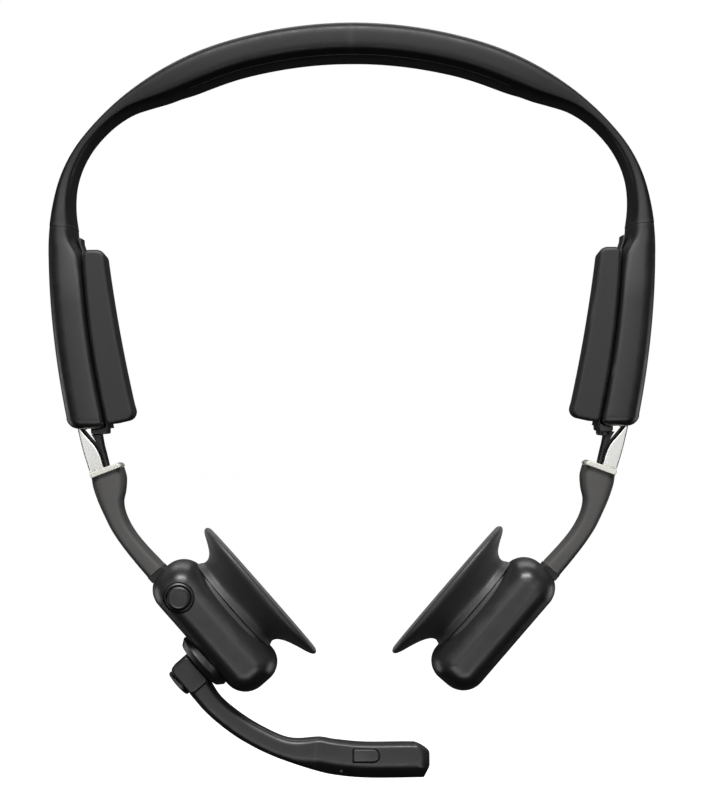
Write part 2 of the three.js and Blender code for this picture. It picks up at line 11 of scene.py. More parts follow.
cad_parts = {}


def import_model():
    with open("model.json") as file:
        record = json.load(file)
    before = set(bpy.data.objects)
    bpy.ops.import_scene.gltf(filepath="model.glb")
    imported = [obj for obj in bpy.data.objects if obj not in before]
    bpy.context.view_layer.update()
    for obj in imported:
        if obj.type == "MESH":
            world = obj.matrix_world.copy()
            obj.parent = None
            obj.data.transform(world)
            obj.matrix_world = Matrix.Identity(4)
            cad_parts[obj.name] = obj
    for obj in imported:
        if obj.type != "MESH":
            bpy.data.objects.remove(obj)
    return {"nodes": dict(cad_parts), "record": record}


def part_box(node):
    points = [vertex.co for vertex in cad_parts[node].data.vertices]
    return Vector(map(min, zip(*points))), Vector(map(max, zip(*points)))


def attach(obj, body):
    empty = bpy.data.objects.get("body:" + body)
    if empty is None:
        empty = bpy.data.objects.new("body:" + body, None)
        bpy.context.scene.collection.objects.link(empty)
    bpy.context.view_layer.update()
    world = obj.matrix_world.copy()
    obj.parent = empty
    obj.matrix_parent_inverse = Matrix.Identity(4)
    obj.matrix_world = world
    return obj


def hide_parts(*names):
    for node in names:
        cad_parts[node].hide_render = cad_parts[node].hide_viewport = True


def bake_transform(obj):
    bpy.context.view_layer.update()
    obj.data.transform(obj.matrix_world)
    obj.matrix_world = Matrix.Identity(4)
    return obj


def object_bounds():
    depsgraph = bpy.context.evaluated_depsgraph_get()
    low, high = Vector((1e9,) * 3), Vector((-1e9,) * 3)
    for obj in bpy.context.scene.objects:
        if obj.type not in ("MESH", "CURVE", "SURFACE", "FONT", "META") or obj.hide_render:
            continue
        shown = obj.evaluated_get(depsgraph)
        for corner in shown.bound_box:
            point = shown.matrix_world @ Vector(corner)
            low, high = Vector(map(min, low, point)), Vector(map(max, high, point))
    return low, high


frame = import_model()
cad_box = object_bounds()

# The part's own dimensions, in millimetres. Outward is +X on the right and -X on the left.
MM = 0.001
DEG = math.pi / 180
HAIRLINE = 0.12  # a parting line between two visible pieces
SHARP_ANGLE = 38 * DEG  # edges steeper than this stay crisp
SIDES = {"left": -1, "right": 1}

BAND_TOP = 9.1
BAND_ARCS = [(120, 17), (77, 34), (37.5, 24), (65, 16), (245, 10.5)]
BAND_LENGTH = sum(radius * sweep * DEG for radius, sweep in BAND_ARCS)
BAND_HINGE = 70  # along the outer face
BAND_BEND = 14  # a distance to either side of the hinge
HOUSING_START = 106.8
HOUSING_TOP_HALF = 10.6
BAND_HALF_DEPTH = [(0, 12), (50, 10.6), (72, 8.8), (92, 8.8), (HOUSING_START, HOUSING_TOP_HALF)]
BAND_TOTAL = [(0, BAND_TOP), (30, 8.95), (50, 8.5), (56, 7.6), (61, 6.1), (66, 4.4), (72, 3.3), (78, 2.95),
              (86, 3.3), (100, 5.2), (HOUSING_START, 6.9)]  # band and crown pad together
CROWN_PAD_END = 60

HALF_SIDE = 12
HOUSING_BOTTOM = -99.4
FRAME_TOP = -47.9
SEAM_HALF = 0.26  # half the groove between housing and pad
PAD_TOP = -51.7
PAD_BOTTOM = -98
PAD_TURN = 0.055  # how far the temple pad's face turns to the back
EAR_TURN = 0.06  # and the ear pad's
PORT_PLACE = (72.9, 0, -86.4)
PORT_LEAN = 7 * DEG
FOOT = {"heel": 66.1, "toe": 70.5, "top": HOUSING_BOTTOM - 0.06, "bottom": HOUSING_BOTTOM - 1.5}

SLIDE_LEAN = 10.2 * DEG
STRIP = {"x": 74.1, "z": HOUSING_BOTTOM, "thickness": 1, "width": 10, "inside": 26}

ARM_DEPTH = 11
POD_CENTRE = (37.8, -152.9)
POD_LEAN = 49 * DEG
POD = {"length": 41.2, "thickness": 15.2, "depth": 25}
EAR_PAD_SHIFT = (-0.7, 1.2)

MAIN_BUTTON = {"u": -12.1, "n": -1.1, "cap": 3.1, "ring": (3.4, 4.1), "hole": 4.25}
HUB = {"u": 5.4, "base": 8.15, "width": 8.6}
MUTE = {"x": -3.1, "z": -187.9, "length": 7, "height": 3.4}
MICROPHONE = (3.7, -192.3)


# ---- curves, sections and skins ----

def smooth(rows, at):
    """A value from (position, value) rows, on a curve without kinks."""
    xs, ys = np.array(rows, float).T
    slopes = np.gradient(ys, xs)
    i = int(np.clip(np.searchsorted(xs, at) - 1, 0, len(xs) - 2))
    width = xs[i + 1] - xs[i]
    t = float(np.clip((at - xs[i]) / width, 0, 1))
    start = (1 + 2 * t) * (1 - t) ** 2 * ys[i] + t * (1 - t) ** 2 * width * slopes[i]
    return start + t * t * (3 - 2 * t) * ys[i + 1] + t * t * (t - 1) * width * slopes[i + 1]


def ease(low, high, at):
    """0 before low, 1 after high, and a soft step between them."""
    t = float(np.clip((at - low) / (high - low), 0, 1))
    return t * t * (3 - 2 * t)


def curve(points, steps):
    """A Catmull-Rom curve through the points, with evenly spaced parameters."""
    p = np.array(points, float)
    p = np.vstack([2 * p[0] - p[1], p, 2 * p[-1] - p[-2]])
    rows = []
    for at in np.linspace(0, len(points) - 1, steps + 1):
        i = min(int(at), len(points) - 2)
        t = at - i
        a, b, c, d = p[i:i + 4]
        rows.append(0.5 * (2 * b + (c - a) * t + (2 * a - 5 * b + 4 * c - d) * t * t
                           + (3 * b - a - 3 * c + d) * t ** 3))
    return np.array(rows)


def oval(half_width, half_height, power=2.0, low_power=None, count=56):
    """Points round an oval. A power of 2 is an ellipse, more is squarer, and the lower half can differ."""
    points = []
    for turn in (np.arange(count) + 0.5) * 2 * math.pi / count:
        c, s = math.cos(turn), math.sin(turn)
        bend = 2 / (power if s > 0 or low_power is None else low_power)
        points.append((half_width * math.copysign(abs(c) ** bend, c),
                       half_height * math.copysign(abs(s) ** bend, s)))
    return np.array(points)


def rounded(corners, steps=6):
    """A closed outline from (x, z, radius) corners; a corner without a radius stays a point."""
    points = []
    count = len(corners)
    places = [np.array(c[:2], float) for c in corners]
    for i, corner in enumerate(corners):
        radius = corner[2] if len(corner) > 2 else 0
        here = places[i]
        if not radius:
            points.append(here)
            continue
        before, after = places[i - 1] - here, places[(i + 1) % count] - here
        enter = here + before * (radius / np.linalg.norm(before))
        leave = here + after * (radius / np.linalg.norm(after))
        a, b = enter + 0.5523 * (here - enter), leave + 0.5523 * (here - leave)
        for t in np.linspace(0, 1, steps + 1):
            points.append((1 - t) ** 3 * enter + 3 * t * (1 - t) ** 2 * a
                          + 3 * t * t * (1 - t) * b + t ** 3 * leave)
    return np.array(points)


def inset(outline, distance):
    """The outline moved inwards."""
    if not distance:
        return outline
    x, z = outline.T
    turn = np.sum(x * np.roll(z, -1) - z * np.roll(x, -1))
    ahead = np.roll(outline, -1, 0) - outline
    ahead /= np.maximum(np.linalg.norm(ahead, axis=1, keepdims=True), 1e-9)
    normal = np.column_stack([-ahead[:, 1], ahead[:, 0]]) * math.copysign(1, turn)
    both = normal + np.roll(normal, 1, 0)
    both /= np.maximum(np.sum(both * normal, axis=1, keepdims=True), 0.35)
    return outline + both * distance


def upright(outline, y):
    """A ring of a side plane outline, at a depth."""
    return np.column_stack([outline[:, 0], np.full(len(outline), y), outline[:, 1]])


def level(outline, z):
    """A ring of a plan outline, at a height."""
    return np.column_stack([outline, np.full(len(outline), z)])


def slab(outline, half_depth, edge=0.4, steps=4):
    """Rings of an outline of the side plane over its thickness across it, with round edges."""
    turns = np.linspace(0, math.pi / 2, steps + 1)
    rows = [(edge * (1 - math.cos(t)), half_depth - edge + edge * math.sin(t)) for t in turns]
    rows.append((edge + min(0.15, edge / 2), half_depth))  # keeps the flat face's shading flat
    return [upright(inset(outline, distance), y) for distance, y in [(a, -b) for a, b in rows[::-1]] + rows]


def skin(rings):
    """(points, faces) of a closed skin through rings of equally many points."""
    count = len(rings[0])
    points = np.vstack(rings)
    faces = []
    for i in range(len(rings) - 1):
        for k in range(count):
            a, b = i * count + k, i * count + (k + 1) % count
            faces.append((a, b, b + count, a + count))
    last = (len(rings) - 1) * count
    faces.append(tuple(range(count))[::-1])
    faces.append(tuple(range(last, last + count)))
    return points, faces


def lathe(profile, count=64):
    """Rings round the local z axis from (radius, height) rows; a radius of 0 closes an end."""
    turns = (np.arange(count) + 0.5) * 2 * math.pi / count
    circle = np.column_stack([np.cos(turns), np.sin(turns)])
    return [level(radius * circle, height) for radius, height in profile]


def moved(rings, place):
    """Rings turned and moved by a 4 x 4 matrix in millimetres."""
    m = np.array(place, float)
    return [ring @ m[:3, :3].T + m[:3, 3] for ring in rings]


# ---- pieces ----

def solid(name, rings, look, mirror=1):
    """An object of the skin through rings in millimetres, on the side that mirror says."""
    points, faces = skin(rings)
    points = points * [mirror * MM, MM, MM]
    mesh = bpy.data.meshes.new(name)
    mesh.from_pydata(points.tolist(), [], faces)
    bm = bmesh.new()
    bm.from_mesh(mesh)
    bmesh.ops.remove_doubles(bm, verts=bm.verts, dist=1e-7)
    bmesh.ops.triangulate(bm, faces=[f for f in bm.faces if len(f.verts) > 4])
    bmesh.ops.recalc_face_normals(bm, faces=bm.faces)
    bm.to_mesh(mesh)
    bm.free()
    obj = bpy.data.objects.new(name, mesh)
    bpy.context.collection.objects.link(obj)
    shade(obj)
    obj.data.materials.append(look)
    return obj


def shade(obj):
    obj.data.shade_smooth()
    obj.data.set_sharp_from_angle(angle=SHARP_ANGLE)


def mark(obj, body=None, replaces=()):
    """Hides the CAD nodes a piece stands for and hangs it on the body it rides on."""
    if replaces:
        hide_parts(*replaces)
    if body:
        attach(obj, body)


def make(name, rings, slot, body=None, mirror=1, replaces=()):
    """A whole piece in the look of its slot. One given no body hangs on none."""
    obj = solid(name, rings, LOOKS[slot], mirror)
    mark(obj, body, replaces)
    return obj


def carve(obj, *cutters, mirror=1):
    """Cuts closed skins out of an object's mesh."""
    for rings in cutters:
        tool = solid(obj.name + "_cutter", rings, obj.data.materials[0], mirror)
        cut = obj.modifiers.new("cut", "BOOLEAN")
        cut.operation, cut.solver, cut.object = "DIFFERENCE", "EXACT", tool
        graph = bpy.context.evaluated_depsgraph_get()
        mesh = bpy.data.meshes.new_from_object(obj.evaluated_get(graph))
        obj.modifiers.clear()
        obj.data = mesh
        bpy.data.objects.remove(tool)
    shade(obj)


# ---- finishes ----

def finish(name, color, roughness, grain=0.6, grain_size=0.35, metal=0.0, wear=0.1, spread=0.06,
           mottle=0.12, specular=0.5, sheen=0.0, brushed=None):
    """A moulded or metal surface: fine grain, uneven gloss, faint mottling and paler worn edges."""
    material = bpy.data.materials.new(name)
    material.use_nodes = True
    tree = material.node_tree
    shader = tree.nodes["Principled BSDF"]
    add, link = tree.nodes.new, tree.links.new
    shader.inputs["Metallic"].default_value = metal
    shader.inputs["Specular IOR Level"].default_value = specular
    shader.inputs["Sheen Weight"].default_value = sheen
    shader.inputs["Sheen Roughness"].default_value = 0.5
    place = add("ShaderNodeTexCoord").outputs["Object"]
    if brushed:
        stretch = add("ShaderNodeMapping")
        stretch.inputs["Scale"].default_value = brushed
        link(place, stretch.inputs["Vector"])
        fine_place = stretch.outputs["Vector"]
    else:
        fine_place = place

    def noise(scale, detail, at):
        node = add("ShaderNodeTexNoise")
        node.inputs["Scale"].default_value = scale
        node.inputs["Detail"].default_value = detail
        link(at, node.inputs["Vector"])
        return node.outputs["Fac"]

    def spread_of(value, low, high):
        node = add("ShaderNodeMapRange")
        node.inputs["From Min"].default_value, node.inputs["From Max"].default_value = 0.3, 0.7
        node.inputs["To Min"].default_value, node.inputs["To Max"].default_value = low, high
        link(value, node.inputs["Value"])
        return node.outputs["Result"]

    # Colour: a faint broad mottling, then a paler tone where an edge is worn.
    broad = noise(140, 4, place)
    tone = add("ShaderNodeMix")
    tone.data_type = "RGBA"
    dark = [c * (1 - mottle) for c in color] + [1]
    light = [min(1, c * (1 + mottle)) for c in color] + [1]
    tone.inputs["A"].default_value, tone.inputs["B"].default_value = dark, light
    link(broad, tone.inputs["Factor"])
    edge = add("ShaderNodeMapRange")
    edge.inputs["From Min"].default_value, edge.inputs["From Max"].default_value = 0.52, 0.62
    edge.inputs["To Max"].default_value = wear
    link(add("ShaderNodeNewGeometry").outputs["Pointiness"], edge.inputs["Value"])
    worn = add("ShaderNodeMix")
    worn.data_type = "RGBA"
    link(tone.outputs["Result"], worn.inputs["A"])
    worn.inputs["B"].default_value = [min(1, 0.12 + 1.6 * c) for c in color] + [1]
    link(edge.outputs["Result"], worn.inputs["Factor"])
    link(worn.outputs["Result"], shader.inputs["Base Color"])
    # Gloss: rougher and smoother patches, as handling leaves them.
    patches = noise(320, 6, fine_place)
    link(spread_of(patches, roughness - spread, roughness + spread), shader.inputs["Roughness"])
    # Grain: the mould's fine texture.
    grains = noise(1000 / grain_size, 3, fine_place)
    bump = add("ShaderNodeBump")
    bump.inputs["Strength"].default_value = grain
    bump.inputs["Distance"].default_value = 0.02 * MM
    link(grains, bump.inputs["Height"])
    link(bump.outputs["Normal"], shader.inputs["Normal"])
    return material


def grey(level):
    """The linear value of an sRGB level from 0 to 255."""
    v = level / 255
    return ((v + 0.055) / 1.055) ** 2.4 if v > 0.04 else v / 12.92


LOOKS = {
    "silicone": finish("band_silicone", [grey(0x10)] * 3, 0.5, grain=0.3, grain_size=0.22,
                       specular=0.32),
    "pad_silicone": finish("pad_silicone", [grey(0x17)] * 3, 0.55, grain=0.5, grain_size=0.25,
                           specular=0.4),
    "plastic": finish("moulded_plastic", [grey(0x19)] * 3, 0.4, grain=0.35, grain_size=0.3, wear=0.12),
    "satin_plastic": finish("satin_plastic", [grey(0x20), grey(0x20), grey(0x21)], 0.37, grain=0.2),
    "arm_rubber": finish("arm_rubber", [grey(0x3a), grey(0x39), grey(0x38)], 0.6, grain=0.5, wear=0.06),
    "polished_steel": finish("polished_steel", [0.92, 0.915, 0.89], 0.24, grain=0.06, metal=1, wear=0.05,
                             spread=0.04, mottle=0.03, brushed=(1, 1, 0.05)),
    "satin_metal": finish("satin_metal", [0.5, 0.5, 0.46], 0.42, grain=0.05, metal=0.15, mottle=0.04,
                          brushed=(0.1, 1, 1)),
    "spring_steel": finish("spring_steel", [0.4, 0.41, 0.42], 0.35, metal=1, mottle=0.1,
                           brushed=(0.06, 1, 1)),
    "board": finish("circuit_board", [0.02, 0.09, 0.035], 0.45, grain=0.9, grain_size=0.6, mottle=0.4),
    "copper_cable": finish("cable_jacket", [0.3, 0.12, 0.04], 0.5, grain=0.5, mottle=0.2),
    "cell_wrap": finish("cell_wrap", [0.1, 0.16, 0.26], 0.35, grain=0.3, mottle=0.15),
    "ear_silicone": finish("ear_silicone", [grey(0x20)] * 3, 0.52, grain_size=0.2, sheen=0.15),
}


# ---- headband ----

def outer_face(distance):
    """The band's outer face at a distance from the crown's top: outward place, height and heading."""
    x, z, heading, left = 0.0, BAND_TOP, 0.0, distance
    for radius, sweep in BAND_ARCS:
        turn = min(left / radius, sweep * DEG)
        x += radius * (math.sin(heading + turn) - math.sin(heading))
        z -= radius * (math.cos(heading) - math.cos(heading + turn))
        heading += turn
        left -= radius * turn
    return x, z, heading


def band_ring(distance, top, bottom, half_depth, power, low_power):
    """A ring of the band between two depths under its outer face, on either side of the crown."""
    x, z, heading = outer_face(abs(distance))
    ring = oval(half_depth, (bottom - top) / 2, power, low_power)
    depth = (top + bottom) / 2 - ring[:, 1]
    across = math.copysign(1, distance) * (x - depth * math.sin(heading))
    return np.column_stack([across, ring[:, 0], z - depth * math.cos(heading)])


def band_half(side):
    """One smooth skin from the crown's middle down to the housing."""
    rings = []
    for at in np.linspace(0.0, HOUSING_START, 90):
        power = 4.6 - ease(60, HOUSING_START, at)
        rings.append(band_ring(at, 0, smooth(BAND_TOTAL, at), smooth(BAND_HALF_DEPTH, at), power, 3.6))
    nodes = [f"{side}_band_side"] + (["crown_band"] if side == "left" else [])
    piece = make(f"{side}_band_skin", rings, "silicone", mirror=SIDES[side], replaces=nodes)
    start, end = (outer_face(BAND_HINGE + reach) for reach in (-BAND_BEND, BAND_BEND))
    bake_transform(piece)


def crown_pad():
    """The soft strip let into the band's underside."""
    rings = []
    for at in np.linspace(-CROWN_PAD_END, CROWN_PAD_END, 121):
        reach = abs(at)
        total = smooth(BAND_TOTAL, reach)
        end = math.sqrt(max(0.02, 1 - max(0, (reach - CROWN_PAD_END + 7) / 7) ** 2))
        half = (smooth(BAND_HALF_DEPTH, reach) - 3.4) * end
        below = total + 0.35 - 0.7 * ease(CROWN_PAD_END - 14, CROWN_PAD_END, reach)
        rings.append(band_ring(at if at else 1e-6, total - 1.4, below, half, 6, 3))
    pad = make("crown_pad_skin", rings, "pad_silicone", "crown", replaces=["crown_pad"])


# ---- temple ----

def seam(z):
    """Where the pad frame runs, as a distance from the middle plane."""
    down = -50 - z
    return 72.1 - 0.032 * down - 0.00199 * down ** 2


def pad_face(z):
    """The pad's inner face, which rests on the head."""
    down = -52 - z
    return 67.2 - 0.125 * down - 0.0012 * down ** 2


def run(face, start, end, steps):
    """Points down a face between two heights."""
    return [(face(z), z) for z in np.linspace(start, end, steps + 1)]


def housing_inner(z):
    """The housing's inner boundary: past the tab's notch it follows the pad frame."""
    notch = [(-53.4, seam(-53.4) + SEAM_HALF), (-51.6, 73), (-49.4, 74), (-45.6, 74.5)]
    return seam(z) + SEAM_HALF if z < notch[0][0] else smooth(notch, z)


def housing(side):
    """The housing. It carries on the band's section and swells to its full depth below the shoulder."""
    start = HOUSING_START + HAIRLINE
    low_round = 2.6
    rings = []
    for at in np.linspace(start, BAND_LENGTH + 2, 64):
        x, z, heading = outer_face(min(at, BAND_LENGTH))
        z -= max(0, at - BAND_LENGTH)
        if z < HOUSING_BOTTOM + low_round:
            break
        rings.append(housing_ring(x, z, 0, 1 - ease(start, start + 8, at), heading))
    outer = rings[-1][:, 0].max()
    for turn in np.linspace(0, math.pi / 2, 9):
        z = HOUSING_BOTTOM + low_round * (1 - math.sin(turn))
        rings.append(housing_ring(outer - 0.5 * math.sin(turn), z, low_round * (1 - math.cos(turn))))
    shell = solid(f"{side}_housing_shell", rings, LOOKS["plastic"], SIDES[side])
    if side == "left":
        mouth = rounded([(-1.7, -4.6, 1.6), (1.7, -4.6, 1.6), (1.7, 4.6, 1.6), (-1.7, 4.6, 1.6)], 8)
        carve(shell, moved([upright(mouth, y) for y in (8, 14)], port_place()), mirror=SIDES[side])
    mark(shell, f"{side}_temple", [f"{side}_housing"])


def port_place():
    return Matrix.Translation(PORT_PLACE) @ Matrix.Rotation(PORT_LEAN, 4, "Y")


def housing_ring(outer, z, shrink, tilt=0, heading=0):
    """A level section of the housing, tilted to meet the band's end where tilt is 1."""
    inner = housing_inner(z)
    half = HOUSING_TOP_HALF + (HALF_SIDE - HOUSING_TOP_HALF) * ease(-45.6, -66, z) - shrink
    squareness = 3.6 + 8 * ease(-46, -66, z)  # beside the pad
    ring = oval(half, (outer - inner) / 2 - shrink, 3.2, squareness)
    across = (outer + inner) / 2 + ring[:, 1]
    slope = tilt / math.tan(heading) if tilt else 0
    return np.column_stack([across, ring[:, 0], z + slope * (across - outer)])


def temple_pad(side):
    """The cushion beside the housing. Its face turns a little to the back, as the temple does."""
    outline = rounded([
        (seam(PAD_TOP) - SEAM_HALF, PAD_TOP, 1.7),
        (pad_face(PAD_TOP), PAD_TOP + 0.1, 1.8),
        *run(pad_face, PAD_TOP - 3.4, PAD_BOTTOM + 5, 14),
        (pad_face(PAD_BOTTOM), PAD_BOTTOM + 1.2, 2.6),
        (seam(PAD_BOTTOM) - SEAM_HALF, PAD_BOTTOM - 0.6, 1.7),
        *[(x - SEAM_HALF, z) for x, z in run(seam, PAD_BOTTOM + 4, PAD_TOP - 4, 14)],
    ], 8)
    rings = slab(outline, HALF_SIDE - 0.1, 1, 7)
    for ring in rings:
        edge = seam(ring[:, 2]) - SEAM_HALF
        away = edge - ring[:, 0]
        ring[:, 0] = edge - away * (0.5 + 0.5 * np.clip(away / 3, 0, 1))  # squarer beside the housing
        share = np.clip(away / (edge - pad_face(ring[:, 2])), 0, 1)
        ring[:, 0] -= PAD_TURN * share * (HALF_SIDE - ring[:, 1])
    pad = make(f"{side}_temple_cushion", rings, "pad_silicone", f"{side}_temple", SIDES[side],
               [f"{side}_temple_pad"])


def pad_frame(side):
    """The plate between housing and pad, the tab at its top and, on the left, the foot below."""
    start = PAD_TOP - 0.4
    half = 0.16
    tab = [(72.4, start - 0.8), (73.6, FRAME_TOP - 1.4), (73.8, FRAME_TOP - 0.4), (73.5, FRAME_TOP),
           (72.9, FRAME_TOP - 0.2), (72.8, FRAME_TOP - 1.6), (71.6, start - 0.8)]
    plate = rounded([
        *[(x - half, z) for x, z in run(seam, start, HOUSING_BOTTOM, 16)],
        *[(x + half, z) for x, z in run(seam, HOUSING_BOTTOM, start, 16)],
    ])
    pieces = {f"{side}_frame_plate": slab(plate, HALF_SIDE - 3.6, 0.1, 2),
              f"{side}_frame_tab": slab(rounded(tab), 4.5, 0.2, 3)}
    if side == "left":
        heel, toe, top, bottom = (FOOT[key] for key in ("heel", "toe", "top", "bottom"))
        foot = rounded([(heel, top + 1.1), (67.2, top + 0.45), (68.6, top), (toe, top),
                        (toe, bottom, 0.5), (heel, bottom, 0.4)], 4)
        pieces["left_frame_foot"] = slab(foot, 5, 0.3, 3)
    for name, rings in pieces.items():
        make(name, rings, "plastic", f"{side}_temple", SIDES[side], [f"{side}_pad_frame"])


def port_tongue():
    """The contact tongue inside the charging receptacle."""
    ring = rounded([(-0.35, -3.3, 0.2), (0.35, -3.3, 0.2), (0.35, 3.3, 0.2), (-0.35, 3.3, 0.2)], 4)
    rings = [upright(inset(ring, d), y) for y, d in ((5.8, 0), (10.2, 0), (10.4, 0.12))]
    make("port_tongue", moved(rings, port_place()), "plastic", "left_temple", SIDES["left"])


def volume_keys():
    """The plate under the right housing and its two keys, with their edges rounded below."""
    heel, toe, top, bottom = 65.95, 69.6, FOOT["top"], FOOT["bottom"]
    plate = rounded([(heel, HOUSING_BOTTOM + 0.85), (67.2, HOUSING_BOTTOM + 0.35), (68.6, top), (toe, top),
                     (toe, bottom, 0.6), (heel, bottom, 0.6)], 4)
    cover = solid("volume_plate_skin", slab(plate, 8.5, 0.3, 3), LOOKS["plastic"])
    for name in ("volume_up_button", "volume_down_button"):
        low, high = (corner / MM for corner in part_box(name))
        middle, half = (low + high) / 2, (high - low) / 2
        ring = rounded([(middle.x + a * half.x, middle.y + b * half.y, 0.9)
                        for a, b in ((-1, -1), (1, -1), (1, 1), (-1, 1))], 5)
        carve(cover, [level(inset(ring, -0.1), z) for z in (bottom + 0.7, bottom - 1)])
        rows = [(0, bottom + 0.1), (0, low.z + 0.6), (0.08, low.z + 0.28), (0.3, low.z + 0.08),
                (0.7, low.z)]
        make(f"{name}_key", [level(inset(ring, d), z) for d, z in rows], "plastic", name,
             replaces=[name])
    mark(cover, "right_temple", ["volume_button_plate"])


# ---- slider ----

def up(distance, across):
    """A point along the slider from the housing's mouth, and across it towards the head."""
    sin, cos = math.sin(SLIDE_LEAN), math.cos(SLIDE_LEAN)
    return (STRIP["x"] + distance * sin - across * cos, STRIP["z"] + distance * cos + across * sin)


def slider(side):
    """The polished blade with its bent neck, the cable guard beside it and the collar on the arm."""
    body, mirror = f"{side}_slider", SIDES[side]
    thickness, inside = STRIP["thickness"], STRIP["inside"]
    sweep = curve([(67.1, -109.88), (68, -106.8), (69.3, -104.2), (71.2, -102), up(-0.6, thickness)], 20)
    outer = curve([up(-0.6, 0), (72.7, -105.4), (70.9, -111.3)], 10)
    neck = np.vstack([[up(inside, 0)], outer, sweep, [up(inside, thickness)]])
    make(f"{side}_slider_neck", slab(neck, STRIP["width"] / 2, 0.3, 4), "polished_steel", body, mirror,
         [f"{side}_slider_blade"])
    outside = curve([(70.6, -101), (68.6, -104.3), (67.5, -106.9), (66.75, -109.75)], 10)
    within = curve([(66.15, -109.5), (66.9, -106.3), (67.5, -103.9), (68, -101)], 10)
    make(f"{side}_guard_skin", slab(np.vstack([outside, within]), 3, 0.2, 3), "plastic", body, mirror,
         [f"{side}_cable_guard"])
    collar = rounded([(70.9, -111.35, 0.4), (63.2, -108.5, 0.9), (62.3, -109.7, 0.4),
                      (70.4, -112.75, 0.4)], 6)
    make(f"{side}_collar_rim", slab(collar, ARM_DEPTH / 2 + 0.9, 0.2, 3), "satin_metal", body, mirror,
         [f"{side}_slider_collar"])


def arm(side):
    """One rubber skin from the collar to the pod, across the arm's neck."""
    outer = curve([(70.65, -112.75), (70.2, -115.4), (68.9, -119.2), (67.2, -123), (65.2, -127),
                   (62.4, -131.2), (59.2, -135.3), (55.45, -139.8)], 56)
    inner = curve([(62.25, -109.8), (61.5, -112.8), (61.7, -116.2), (62.3, -119.4), (61.6, -122.9),
                   (59.5, -127), (56.3, -131.1), (51.5, -136.2)], 56)
    rings = []
    for (ox, oz), (ix, iz) in zip(outer, inner):
        width = math.hypot(ox - ix, oz - iz)
        ring = oval(ARM_DEPTH / 2, width / 2, 4.6)
        share = 0.5 + ring[:, 1] / width
        rings.append(np.column_stack([ix + (ox - ix) * share, ring[:, 0], iz + (oz - iz) * share]))
    piece = make(f"{side}_arm_skin", rings, "arm_rubber", mirror=SIDES[side],
                 replaces=[f"{side}_arm_upper", f"{side}_arm_lower"])
    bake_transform(piece)


# ---- pod ----

def pod_place():
    """The pod's frame in millimetres: x down its length, y to the front, z to the head."""
    down = (-math.cos(POD_LEAN), 0, -math.sin(POD_LEAN))
    inward = (-math.sin(POD_LEAN), 0, math.cos(POD_LEAN))
    place = Matrix((down, (0, -1, 0), inward)).transposed().to_4x4()
    place.translation = (POD_CENTRE[0], 0, POD_CENTRE[1])
    return place


POD_PLACE = pod_place()
POD_INSET = 6.3  # how far in from its outline the pod's front starts to round off
POD_POWER = 2.35  # 2 is a quarter circle and more is squarer


def pod_front(n):
    """How far the pod's front stands out at a distance across it from its middle."""
    share = 1 - min(1, max(0, POD["thickness"] / 2 - abs(n)) / POD_INSET)
    return POD["depth"] / 2 * (1 - share ** POD_POWER) ** (1 / POD_POWER)


def pod(side):
    """The pod's shell, rounded to front and back, and the gasket where the arm enters it."""
    length, half = POD["length"] / 2, POD["thickness"] / 2
    corners = [(-1, -1, 6.4), (1, -1, 6.6), (1, 1, 5.6), (-1, 1, 6.4)]
    rings = []
    for turn in np.linspace(-math.pi / 2, math.pi / 2, 45):
        s = math.sin(turn)
        y = POD["depth"] / 2 * math.copysign(abs(s) ** (2 / POD_POWER), s)
        shrink = POD_INSET * (1 - abs(math.cos(turn)) ** (2 / POD_POWER))
        long, wide = length - shrink, half - shrink
        ring = rounded([(a * long, b * wide, max(r - 0.93 * shrink, 0.4)) for a, b, r in corners], 12)
        rings.append(upright(ring, y))
    shell = solid(f"{side}_pod_skin", moved(rings, POD_PLACE), LOOKS["satin_plastic"], SIDES[side])
    if side == "left":
        hole = lathe([(MAIN_BUTTON["hole"], -4), (MAIN_BUTTON["hole"], 4)])
        carve(shell, moved(hole, button_place(11)), mirror=SIDES[side])
    mark(shell, f"{side}_arm", [f"{side}_pod_shell"])
    gasket = rounded([(-length - 0.95, -4.6), (-length + 1, -4.6), (-length + 1, 0.5),
                      (-length - 0.95, 0.5)])
    make(f"{side}_gasket_ring", moved(slab(gasket, ARM_DEPTH / 2 - 0.3, 0.2, 3), POD_PLACE), "silicone",
         f"{side}_arm", SIDES[side], [f"{side}_arm_gasket"])


def pod_cover(side):
    """The pod's head-side cover, under the ear pad."""
    rows = [(5.6, 0), (7, 0), (7.25, 0.08), (7.4, 0.3)]
    rings = [level(oval(14.2 - d, 9.3 - d, 2.6), n) for n, d in rows]
    make(f"{side}_pod_cover", moved(rings, POD_PLACE), "plastic", f"{side}_arm", SIDES[side],
         [f"{side}_pod_plate"])


def ear_pad(side):
    """The winged pad: a waist on the pod, a wide thin wing and a slightly dished face to the head."""
    rows = [(7.5, 14.7, 9.8), (8.2, 14.4, 9.5), (9.2, 14.0, 9.1), (10.6, 14.4, 9.6), (12.2, 15.9, 10.7),
            (13.7, 18.4, 12.1), (14.9, 21.0, 13.4), (15.7, 22.2, 13.95), (16.4, 22.5, 14.1),
            (17.0, 22.1, 13.8), (17.3, 21.3, 13.1), (17.25, 20.0, 12.0), (16.9, 16.5, 9.8), (16.6, 10, 6),
            (16.5, 3, 2)]
    rings = []
    for height, half_length, half_depth in curve(rows, 4 * len(rows) - 1):
        shift = EAR_PAD_SHIFT[0] + (EAR_PAD_SHIFT[1] - EAR_PAD_SHIFT[0]) * ease(7.5, 17, height)
        ring = oval(half_length, half_depth, 2.4, count=80)
        turn = EAR_TURN * ease(9, 16, height) * (14 - ring[:, 1])
        rings.append(np.column_stack([ring[:, 0] + shift, ring[:, 1], height - turn]))
    pad = make(f"{side}_ear_cushion", moved(rings, POD_PLACE), "ear_silicone", f"{side}_arm", SIDES[side],
               [f"{side}_ear_pad"])


